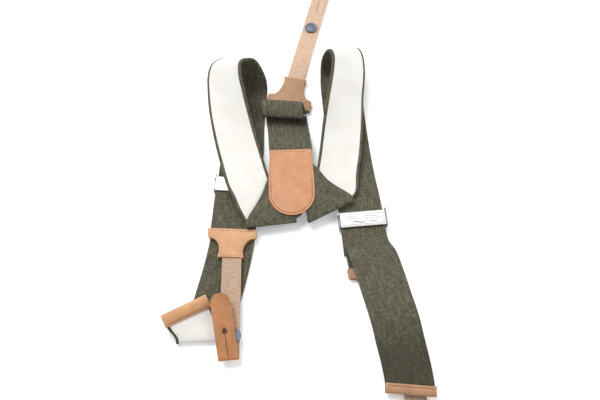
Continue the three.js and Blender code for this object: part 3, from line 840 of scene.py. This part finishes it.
def plate(name, outline, bottom, thickness, groove=True):
    """A leather plate with a rounded rim, and perhaps a line pressed in along its edge for the stitching."""
    steps = RIM_STEPS + (GROOVE_STEPS if groove else ())
    rim = sum(rise for _, rise in RIM_STEPS)
    bm = bmesh.new()
    stacks = []
    for height, way in ((bottom + rim, -1), (bottom + thickness - rim, 1)):
        inwards = 0.0
        rings = [[bm.verts.new((x, y, height)) for x, y in outline]]
        for step, rise in steps:
            inwards += step
            height += way * rise
            rings.append([bm.verts.new((x, y, height)) for x, y in offset(outline, inwards)])
        stacks.append(rings)
    lower, upper = stacks
    rings = lower[::-1] + upper
    for a, b in zip(rings, rings[1:]):
        bridge(bm, a, b)
    caps = [bm.faces.new(rings[0]), bm.faces.new(rings[-1])]
    bmesh.ops.triangulate(bm, faces=caps)
    bmesh.ops.recalc_face_normals(bm, faces=bm.faces)
    lay_flat(bm, lambda up: 0 if abs(up) > 0.5 else 1)
    return to_mesh(bm, name)


def leather_plate(name, mesh, material, body, node, matrix):
    piece(name, mesh, [material, EDGE], body, [node], matrix, sharp=50)


# ---- stitching ----

def walk(points, pitch, closed):
    """Places pitch apart along a line of points, each with the line's direction there."""
    points = [Vector(p) for p in points]
    if closed:
        points.append(points[0])
    lengths = [(b - a).length for a, b in zip(points, points[1:])]
    total = sum(lengths)
    count = max(1, round(total / pitch))
    found = []
    for i in range(count):
        want = total * (i + 0.5) / count
        for a, b, length in zip(points, points[1:], lengths):
            if want <= length:
                found.append((a.lerp(b, want / length), (b - a).normalized()))
                break
            want -= length
    return found


def ellipse(bm, centre, first, second, sides):
    """A ring of corners about a centre, between two half axes."""
    turns = [2 * math.pi * k / sides for k in range(sides)]
    return [bm.verts.new(centre + first * math.cos(a) + second * math.sin(a)) for a in turns]


def stitch_mesh(name, places, normal, length):
    """Stitches lying along a seam: each a thread that rises from one hole and goes down the next."""
    bm = bmesh.new()
    rings, sides = 7, 6
    for middle, along in places:
        across = normal.cross(along).normalized()
        loops = []
        for i in range(rings):
            u = -1 + 2 * i / (rings - 1)
            centre = middle + along * (u * length / 2) + normal * (STITCH_RADIUS * (0.95 - 1.5 * u * u))
            size = STITCH_RADIUS * math.sqrt(max(0.12, 1 - 0.55 * u * u))
            loops.append(ellipse(bm, centre, across * size * 1.15, normal * size, sides))
        for a, b in zip(loops, loops[1:]):
            bridge(bm, a, b)
        bm.faces.new(loops[0])
        bm.faces.new(loops[-1])
    return to_mesh(bm, name)


def hole_mesh(name, places, normal, length):
    """The pricked holes at both ends of each stitch: shallow dimples coloured dark with painted shade for the
    holes' depth.
    """
    bm = bmesh.new()
    for middle, along in places:
        across = normal.cross(along).normalized()
        for end in (-1, 1):
            centre = middle + along * (end * length * 0.56) + normal * 0.012
            rim = ellipse(bm, centre, along * PRICK_RADIUS, across * PRICK_RADIUS * 0.8, 8)
            low = [bm.verts.new(v.co - normal * 0.1) for v in rim]
            bridge(bm, rim, low)
            bm.faces.new(rim)
            bm.faces.new(low)
    return to_mesh(bm, name)


def seam(name, points, height, body, matrix, thread, pitch, closed=False, up=1, length=STITCH_LENGTH):
    """One row of stitching with its holes, along points in a plate's plane at the given height."""
    normal = Vector((0, 0, up))
    places = walk([(x, y, height) for x, y in points], pitch, closed)
    piece(name, stitch_mesh(name, places, normal, length), thread, body, matrix=matrix)
    holes = f"{name}_holes"
    piece(holes, hole_mesh(holes, places, normal, length), HOLE_SHADE, body, matrix=matrix)


def back_patch():
    """Two layers of leather over the meeting straps; the outer one carries the stitching."""
    outline = patch_outline(0)
    inner = offset(outline, PATCH_REAR_INSET)
    for name, *shape in (("patch_rear", inner, PATCH_REAR_BOTTOM, PATCH_REAR_THICKNESS),
                         ("patch_front", outline, PATCH_FRONT_BOTTOM, PATCH_FRONT_THICKNESS)):
        leather_plate(name, plate(name, *shape), TAN, "straps", f"back_{name}", PATCH_FRAME)
    line = patch_outline(PATCH_EDGE_TO_SEAM)
    height = PATCH_FRONT_BOTTOM + PATCH_FRONT_THICKNESS + SEAM_LIFT
    seam("patch_round_seam", line[1:-1], height, "straps", PATCH_FRAME, BROWN_THREAD, 2.4, length=1.2)
    for name, ends in (("top", [line[-1], line[0]]), ("left", line[:2]), ("right", line[-2:])):
        seam(f"patch_{name}_seam", ends, height, "straps", PATCH_FRAME, TAN_THREAD, 2.6)


def tab(side):
    """Front and back leather of one winged tab, with a row of stitches round each."""
    t = TABS[side]
    body = fixed_body(side)
    matrix = placed(*t["wing"], 0, t["tab"])
    outline = tab_outline(t["length"], t["depth"])
    back = t["base"]
    front = back + TAB_LEATHER + STUD_STRAP_THICKNESS + 2 * SEAM_GAP
    for layer, bottom in (("back", back), ("front", front)):
        node = f"{side}_tab_{layer}"
        mesh = plate(node, outline, bottom, TAB_LEATHER, groove=False)
        leather_plate(f"{node}_leather", mesh, SIDE_TAN[side], body, node, matrix)
    line = offset(outline, EDGE_TO_SEAM)
    top = front + TAB_LEATHER + SEAM_LIFT
    seam(f"{side}_tab_seam", line, top, body, matrix, TAN_THREAD, 2.4, closed=True)
    seam(f"{side}_tab_under_seam", line, back - SEAM_LIFT, body, matrix, TAN_THREAD, 2.4, closed=True, up=-1)


def end_binding(side, stations):
    """Leather folded over a strap's end, stitched through near its open edge."""
    leg = BINDING_DEPTH[side]
    inside = (WEBBING_THICKNESS + SEAM_GAP + LINING_THICKNESS) / 2 + BINDING_EASE
    outside = inside + BINDING_LEATHER
    nose = (BINDING_NOSE, 0)
    profile = [(-leg, outside - 0.35), (-leg + 0.3, outside), *arc_profile(nose, outside, 90, -90, 8)]
    profile += [(-leg + 0.3, -outside), (-leg, -outside + 0.35), (-leg, -inside)]
    profile += [*arc_profile(nose, inside, -90, 90, 8), (-leg, inside)]
    inner, end = stations[-2], stations[-1]
    across = end[1]
    along = end[0] - inner[0]
    along = (along - across * along.dot(across)).normalized()
    normal = along.cross(across).normalized()
    centre = end[0] + normal * ((WEBBING_THICKNESS - LINING_THICKNESS) / 2)
    matrix = Matrix.Translation(centre) @ Matrix((along, normal, -across)).transposed().to_4x4()
    half = (WEBBING_WIDTH + BINDING_OVERHANG) / 2
    steps, chamfer = 16, 0.25
    slices = [-half + chamfer + 2 * (half - chamfer) * i / steps for i in range(steps + 1)]
    slices = [-half, *slices, half]
    rings = []
    for z in slices:
        thinned = 0.96 if abs(z) == half else 1
        rings.append([(x, y * thinned, z) for x, y in profile])
    run = [0.0]
    for (ax, ay), (bx, by) in zip(profile, profile[1:] + profile[:1]):
        run.append(run[-1] + math.hypot(bx - ax, by - ay))
    mesh = sweep("binding", rings, [[(distance, z) for distance in run] for z in slices])
    name = f"{side}_end_binding"
    piece(f"{name}_leather", mesh, SIDE_TAN[side], "straps", [name], matrix, sharp=50)
    turned = matrix @ Matrix.Rotation(math.pi / 2, 4, "X")
    line = [(-leg + EDGE_TO_SEAM, -half + 1.5), (-leg + EDGE_TO_SEAM, half - 1.5)]
    for name, up in (("upper", -1), ("lower", 1)):
        height = up * (outside + SEAM_LIFT)
        seam(f"{side}_binding_{name}_seam", line, height, "straps", turned, BROWN_THREAD, 2.5, up=up)


# ---- stud straps ----

def stud_strap_outline(allowance):
    """The whole strap laid flat, neck end at +y, with its round tip; and the keyhole with its slit."""
    half = STUD_STRAP_WIDTH / 2
    end = -STRAP_FROM_NECK - allowance
    tip = ((-half, end + half + 1), (-half, end), (0, end))
    left = [(-half, HIDDEN_LENGTH), tip[0]] + curve_points(tip, 10)
    outline = left + [(-x, y) for x, y in reversed(left[:-1])]
    slit = 0.3
    keyhole = [(0, -3.4), (1.5, -1.9), (2.3, 0), (1.3, 1.7), (slit, 2.6), (slit, KEYHOLE_FROM_FOLD - 0.9)]
    keyhole += [(-x, y) for x, y in reversed(keyhole[1:])]
    middle = -FOLD_FROM_NECK - allowance - KEYHOLE_FROM_FOLD
    return outline, [(x, y + middle) for x, y in keyhole]


def fold_line(slant):
    """The direction in which a strap runs across its fold."""
    return Vector((math.sin(radians(slant)), -math.cos(radians(slant)), 0))


def fold_map(slant, fold):
    """A function that folds flat strap points about the slant fold line, and the length its bend takes up."""
    pivot_height = STUD_STRAP_THICKNESS + BEND_RADIUS
    turn = radians(fold)
    bend = (pivot_height - STUD_STRAP_THICKNESS / 2) * turn
    line = fold_line(slant)

    def fold_point(co):
        beyond = (co.x * line.x) + (co.y + FOLD_FROM_NECK) * line.y
        if beyond <= 0 or turn == 0:
            return co
        reach = pivot_height - co.z
        angle = min(beyond, bend) / bend * turn
        rest = max(0.0, beyond - bend)
        along = reach * math.sin(angle) + rest * math.cos(turn)
        height = pivot_height - reach * math.cos(angle) + rest * math.sin(turn)
        return Vector((co.x + line.x * (along - beyond), co.y + line.y * (along - beyond), height))

    return fold_point, bend


def cut_across(bm, place, normal):
    geometry = list(bm.verts) + list(bm.edges) + list(bm.faces)
    bmesh.ops.bisect_plane(bm, geom=geometry, dist=1e-5, plane_co=place, plane_no=normal)


def stud_strap(side):
    """One leather strap, flesh side up, that folds back over its stud: one piece across the fold."""
    t = TABS[side]
    fold_point, bend = fold_map(t["slant"], t["fold"])
    bm = bmesh.new()
    edges = []
    for loop in stud_strap_outline(bend):
        verts = [bm.verts.new((x, y, 0)) for x, y in loop]
        edges += [bm.edges.new(pair) for pair in zip(verts, verts[1:] + verts[:1])]
    bmesh.ops.triangle_fill(bm, use_beauty=True, use_dissolve=False, edges=edges, normal=(0, 0, -1))
    made = bmesh.ops.extrude_face_region(bm, geom=list(bm.faces))["geom"]
    top = [v for v in made if isinstance(v, bmesh.types.BMVert)]
    bmesh.ops.translate(bm, verts=top, vec=(0, 0, STUD_STRAP_THICKNESS))
    bmesh.ops.recalc_face_normals(bm, faces=bm.faces)
    rim = [e for e in bm.edges if len(e.link_faces) == 2 and e.calc_face_angle() > 1.2]
    rim = [e for e in rim if abs(e.verts[0].co.z - e.verts[1].co.z) < 0.01]
    bmesh.ops.bevel(bm, geom=rim, offset=0.25, segments=2, affect="EDGES", profile=0.6)
    step = 1.25
    for i in range(int((HIDDEN_LENGTH + STRAP_FROM_NECK + bend) / step)):
        cut_across(bm, (0, HIDDEN_LENGTH - (i + 1) * step, 0), (0, 1, 0))
    line = fold_line(t["slant"])
    fold_start = Vector((0, -FOLD_FROM_NECK, 0))
    fold_cuts = 10
    for i in range(fold_cuts + 1 if t["fold"] else 0):
        cut_across(bm, fold_start + line * (bend * i / fold_cuts), line)
    lay_flat(bm, lambda up: 0 if up > 0.5 else (1 if up < -0.5 else 2))
    for v in bm.verts:
        v.co = fold_point(v.co.copy())
    matrix = strap_frame(side)
    obj = piece(f"{side}_stud_strap_leather", to_mesh(bm, "stud_strap"), [FLESH[side], GRAIN, EDGE],
                fixed_body(side), [f"{side}_stud_strap", f"{side}_stud_strap_end"], matrix,
                ride=False, sharp=50)
    fixed_body(side)
    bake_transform(obj)


# ---- metal ----

def lathe(name, profile):
    """A turned piece about z from (radius, height) points that start and end on the axis."""
    segments = 64
    bm = bmesh.new()
    rings = []
    for radius, height in profile:
        right, ahead_of = Vector((radius, 0, 0)), Vector((0, radius, 0))
        rings.append(ellipse(bm, Vector((0, 0, height)), right, ahead_of, segments if radius else 1))
    for a, b in zip(rings, rings[1:]):
        for k in range(segments):
            n = (k + 1) % segments
            corners = [a[k % len(a)], a[n % len(a)], b[n % len(b)], b[k % len(b)]]
            bm.faces.new(list(dict.fromkeys(corners)))
    return to_mesh(bm, name)


def stud(side):
    """A turned stud head with a rolled rim and shallow dished top, and its round base under the strap."""
    aside, from_neck = TABS[side]["stud"]
    matrix = strap_frame(side) @ Matrix.Translation((aside, -from_neck, 0))
    top = STUD_STRAP_THICKNESS
    collar = 2.9
    bead = STUD_HEAD_RADIUS - STUD_HEAD_RIM
    head = [(0, 0.1), (STUD_POST_RADIUS, 0.1), (STUD_POST_RADIUS, top + 0.25)]
    head += [(collar, top + 0.3), (collar, top + 1.2), (bead, top + 1.15)]
    head += arc_profile((bead, top + 1.15 + STUD_HEAD_RIM), STUD_HEAD_RIM, -80, 100, 10)
    head += [(4.7, top + 2.25), (4.3, top + 2.2), (3.9, top + 2.32), (2.6, top + 2.62), (1.2, top + 2.78)]
    head += [(0, top + 2.8)]
    base = [(0, -0.9), (1.1, -0.9), (1.5, -0.75), (3.4, -0.88)]
    base += arc_profile((STUD_BASE_RADIUS, STUD_BASE_MIDDLE), 0.29, -90, 90, 8) + [(0, -0.31)]
    for part, profile in (("head", head), ("base", base)):
        piece(f"{side}_stud_{part}_metal", lathe(f"stud_{part}", profile), STUD_METAL, fixed_body(side),
              [f"{side}_stud_{part}"], matrix, sharp=40)


def finish_cad(node, material, bevel):
    """Keeps a CAD piece's shape, softens its edges and gives it its metal."""
    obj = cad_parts[node]
    obj.data.materials.clear()
    obj.data.materials.append(material)
    weld = obj.modifiers.new("weld", "WELD")
    weld.merge_threshold = 0.01 * MM
    if bevel:
        soft = obj.modifiers.new("bevel", "BEVEL")
        soft.width = bevel * MM
        soft.segments = 2
        soft.limit_method = "ANGLE"
        soft.angle_limit = radians(40)


def headings(points):
    """The direction of a line of points at each of them."""
    pairs = zip(points[:1] + points[:-1], points[1:] + points[-1:])
    return [(after - before).normalized() for before, after in pairs]


def bent_sheet(name, path, thickness, width):
    """Sheet metal bent along path in the y-z plane and as wide as width along x."""
    points = [Vector(p) for p in path]
    normals = [Vector((-along.y, along.x)) for along in headings(points)]
    half = thickness / 2
    outer = [(p + n * half, -n) for p, n in zip(points, normals)]
    inner = [(p - n * half, n) for p, n in zip(points, normals)]
    loop = outer + inner[::-1]
    edge = 0.18
    levels = [(-width / 2, edge), (-width / 2 + edge, 0.0), (width / 2 - edge, 0.0), (width / 2, edge)]
    bm = bmesh.new()
    rings = []
    for x, shrink in levels:
        drawn_in = [p + inwards * shrink for p, inwards in loop]
        rings.append([bm.verts.new((x, q.x, q.y)) for q in drawn_in])
    for a, b in zip(rings, rings[1:]):
        bridge(bm, a, b)
    last = len(loop) - 1
    for ring in (rings[0], rings[-1]):
        for i in range(len(points) - 1):
            bm.faces.new((ring[i], ring[i + 1], ring[last - 1 - i], ring[last - i]))
    return to_mesh(bm, name)


def adjuster_plate(side):
    """The hinged front plate: a sheet with a lip, curled round the pin and down to a gripping edge."""
    a = ADJUSTERS[side]
    matrix = placed(*a["centre"], 0, a["heading"])
    width = 2 * (EAR_INSIDE - PLATE_SIDE_GAP)
    top = PIN_Z + KNUCKLE_RADIUS
    half = PLATE_SHEET / 2
    curl = KNUCKLE_RADIUS - half
    line = top - half
    lip = PIN_Y - PLATE_REACH + half
    path = [(lip, line - 0.75), (lip, line - 0.4), (lip + 0.12, line - 0.12), (lip + 0.4, line)]
    path += [(lip + 3 + i * 1.5, line) for i in range(5)] + [(PIN_Y - 1.5, line)]
    path += arc_profile((PIN_Y, PIN_Z), curl, 90, -165, 18)
    path += [(PIN_Y - curl, PIN_Z + 0.1), (PIN_Y - curl, a["strap_top"] + 0.4)]
    piece(f"{side}_plate_metal", bent_sheet("plate", path, PLATE_SHEET, width), NICKEL, f"{side}_plate",
          [f"{side}_adjuster_plate"], matrix, sharp=35)
    engraved_lines(side, matrix, width, top, lip)


def ribbon(bm, points, height, thickness):
    """A thin inlaid line along points."""
    deep = 0.05
    points = [Vector(p) for p in points]
    rows = []
    for here, along in zip(points, headings(points)):
        side = Vector((-along.y, along.x)) * thickness / 2
        corners = (here + side, here - side)
        rows.append([bm.verts.new((*c, z)) for z in (height, height - deep) for c in corners])
    for a, b in zip(rows, rows[1:]):
        for i, j in ((0, 1), (1, 3), (3, 2), (2, 0)):
            bm.faces.new((a[i], a[j], b[j], b[i]))
    for row in (rows[0], rows[-1]):
        bm.faces.new([row[i] for i in (0, 1, 3, 2)])


# Ornament on the plate: start and finish as shares of its half width, height, swing and line width.
PLATE_WAVES = (
    (-0.5, 0.05, -2.5, 0.55, 0.8),
    (0.3, 0.66, -2.3, 0.35, 0.45),
    (-0.85, -0.2, 1.6, 0.3, 0.34),
    (-0.8, -0.3, 2.9, 0.2, 0.3),
    (0.1, 0.7, 2.6, 0.35, 0.36),
    (-0.7, 0.3, 0.1, 0.25, 0.28),
    (0.35, 0.85, 0.6, 0.2, 0.28),
)
PLATE_BORDER_INSET = 1.6
PLATE_BORDER_WIDTH = 0.22


def engraved_lines(side, matrix, width, top, lip):
    """Plain ornament on the plate: a fine border and some waves."""
    bm = bmesh.new()
    x, low, high = width / 2 - PLATE_BORDER_INSET, lip + PLATE_BORDER_INSET, PIN_Y - 1.7
    height = top + 0.025
    corners = [(-x, low), (x, low), (x, high), (-x, high)]
    for ends in zip(corners, corners[1:] + corners[:1]):
        ribbon(bm, ends, height, PLATE_BORDER_WIDTH)
    middle = (low + high) / 2
    steps = 40
    for start, finish, rise, swing, thick in PLATE_WAVES:
        wave = []
        for i in range(steps + 1):
            u = i / steps
            wave.append((x * (start + (finish - start) * u), middle + rise + swing * math.sin(u * 6.3)))
        ribbon(bm, wave, height, thick)
    piece(f"{side}_plate_engraving", to_mesh(bm, "engraving"), ENGRAVING, f"{side}_plate",
          matrix=matrix)


# Each short strap's way up from its tab, in its adjuster's frame, and where its returned end stops.
SHORT_STRAPS = {
    "left": ([(0, -52, 6.2), (0, -43, 6.2), (0, -30, 6.4), (0, -16, 6.8)], -17),
    "right": ([(3.2, -51, 2.4, 4), (2.5, -42, 2.4, 4), (1.3, -30, 2.6, 3), (0.3, -16, 3, 1)], -31),
}


def short_strap(side):
    """Webbing from inside the tab up to the adjuster's lower bar, round it and back under itself."""
    a = ADJUSTERS[side]
    path, return_end = SHORT_STRAPS[side]
    bar = a["bar_z"]
    radius = BAR_RADIUS + BAR_EASE + SHORT_STRAP_THICKNESS / 2
    turns = arc_profile((BAR_Y, bar), radius, 75, -75, 5)
    path = path + [(0, BAR_Y - 1.2, bar + radius)] + [(0, y, z) for y, z in turns]
    path += [(0, BAR_Y - 1.2, bar - radius), (0, return_end, bar - radius)]
    half = SHORT_STRAP_THICKNESS / 2
    matrix = placed(*a["centre"], 0, a["heading"])
    body = f"{side}_slider"
    sheet(f"{side}_short_strap_webbing", f"{side}_short_strap", f"{side}_adjuster_frame",
          [station(*values) for values in path], -half, half, body=body, matrix=matrix)
    points = [(x, return_end + 2.2) for x in (-WEBBING_WIDTH / 2 + 2, WEBBING_WIDTH / 2 - 2)]
    height = bar - radius - half - SEAM_LIFT
    seam(f"{side}_short_strap_seam", points, height, body, matrix, CREAM_THREAD, 2.2, up=-1)


for name, stations in (("left", LEFT_STRAP), ("right", RIGHT_STRAP)):
    shoulder_strap(name, stations)
    end_binding(name, stations)
centre_strap()
back_patch()
for name in TABS:
    tab(name)
    stud_strap(name)
    stud(name)
for name in ADJUSTERS:
    short_strap(name)
    adjuster_plate(name)
    finish_cad(f"{name}_adjuster_frame", DARK_NICKEL, 0.12)
    finish_cad(f"{name}_adjuster_pin", NICKEL, 0)


# ---- floor, light and camera ----

# These are in metres.
FLOOR_REACH = 4.0
FLOOR_LEVEL = -0.0004


def floor():
    mesh = bpy.data.meshes.new("floor")
    reach = FLOOR_REACH
    corners = [(-reach, -reach), (reach, -reach), (reach, reach), (-reach, reach)]
    mesh.from_pydata([(x, y, FLOOR_LEVEL) for x, y in corners], [], [(0, 1, 2, 3)])
    mesh.materials.append(floor_material())
    new_object("floor", mesh)


def area_light(name, place, size, power):
    """A round soft light that looks at the middle of the floor."""
    light = bpy.data.lights.new(name, "AREA")
    light.shape = "DISK"
    light.size = size
    light.energy = power
    obj = new_object(name, light)
    obj.location = place
    obj.rotation_mode = "QUATERNION"
    obj.rotation_quaternion = (-Vector(place)).to_track_quat("-Z", "Y")


def studio():
    """Pale surroundings, a key light from behind on the left and a wider fill from the right."""
    world = bpy.data.worlds.new("studio")
    bpy.context.scene.world = world
    world.use_nodes = True
    background = world.node_tree.nodes["Background"]
    background.inputs["Color"].default_value = (0.97, 0.985, 1, 1)
    background.inputs["Strength"].default_value = 0.44
    area_light("key", (-0.42, 0.5, 1.3), 0.8, 17.8)
    area_light("fill", (0.95, 0.1, 1.1), 1.2, 7.6)


def camera():
    """The photo's view, with a level horizon and no turn aside."""
    data = bpy.data.cameras.new("camera")
    data.lens = CAMERA_LENS
    data.sensor_width = CAMERA_SENSOR
    obj = new_object("camera", data)
    obj.location = TO_ROW @ Vector(CAMERA_PLACE)
    obj.rotation_euler = (radians(90 - CAMERA_DROP), 0, 0)
    bpy.context.scene.camera = obj


floor()
studio()
camera()
bpy.context.scene.view_settings.view_transform = "Standard"
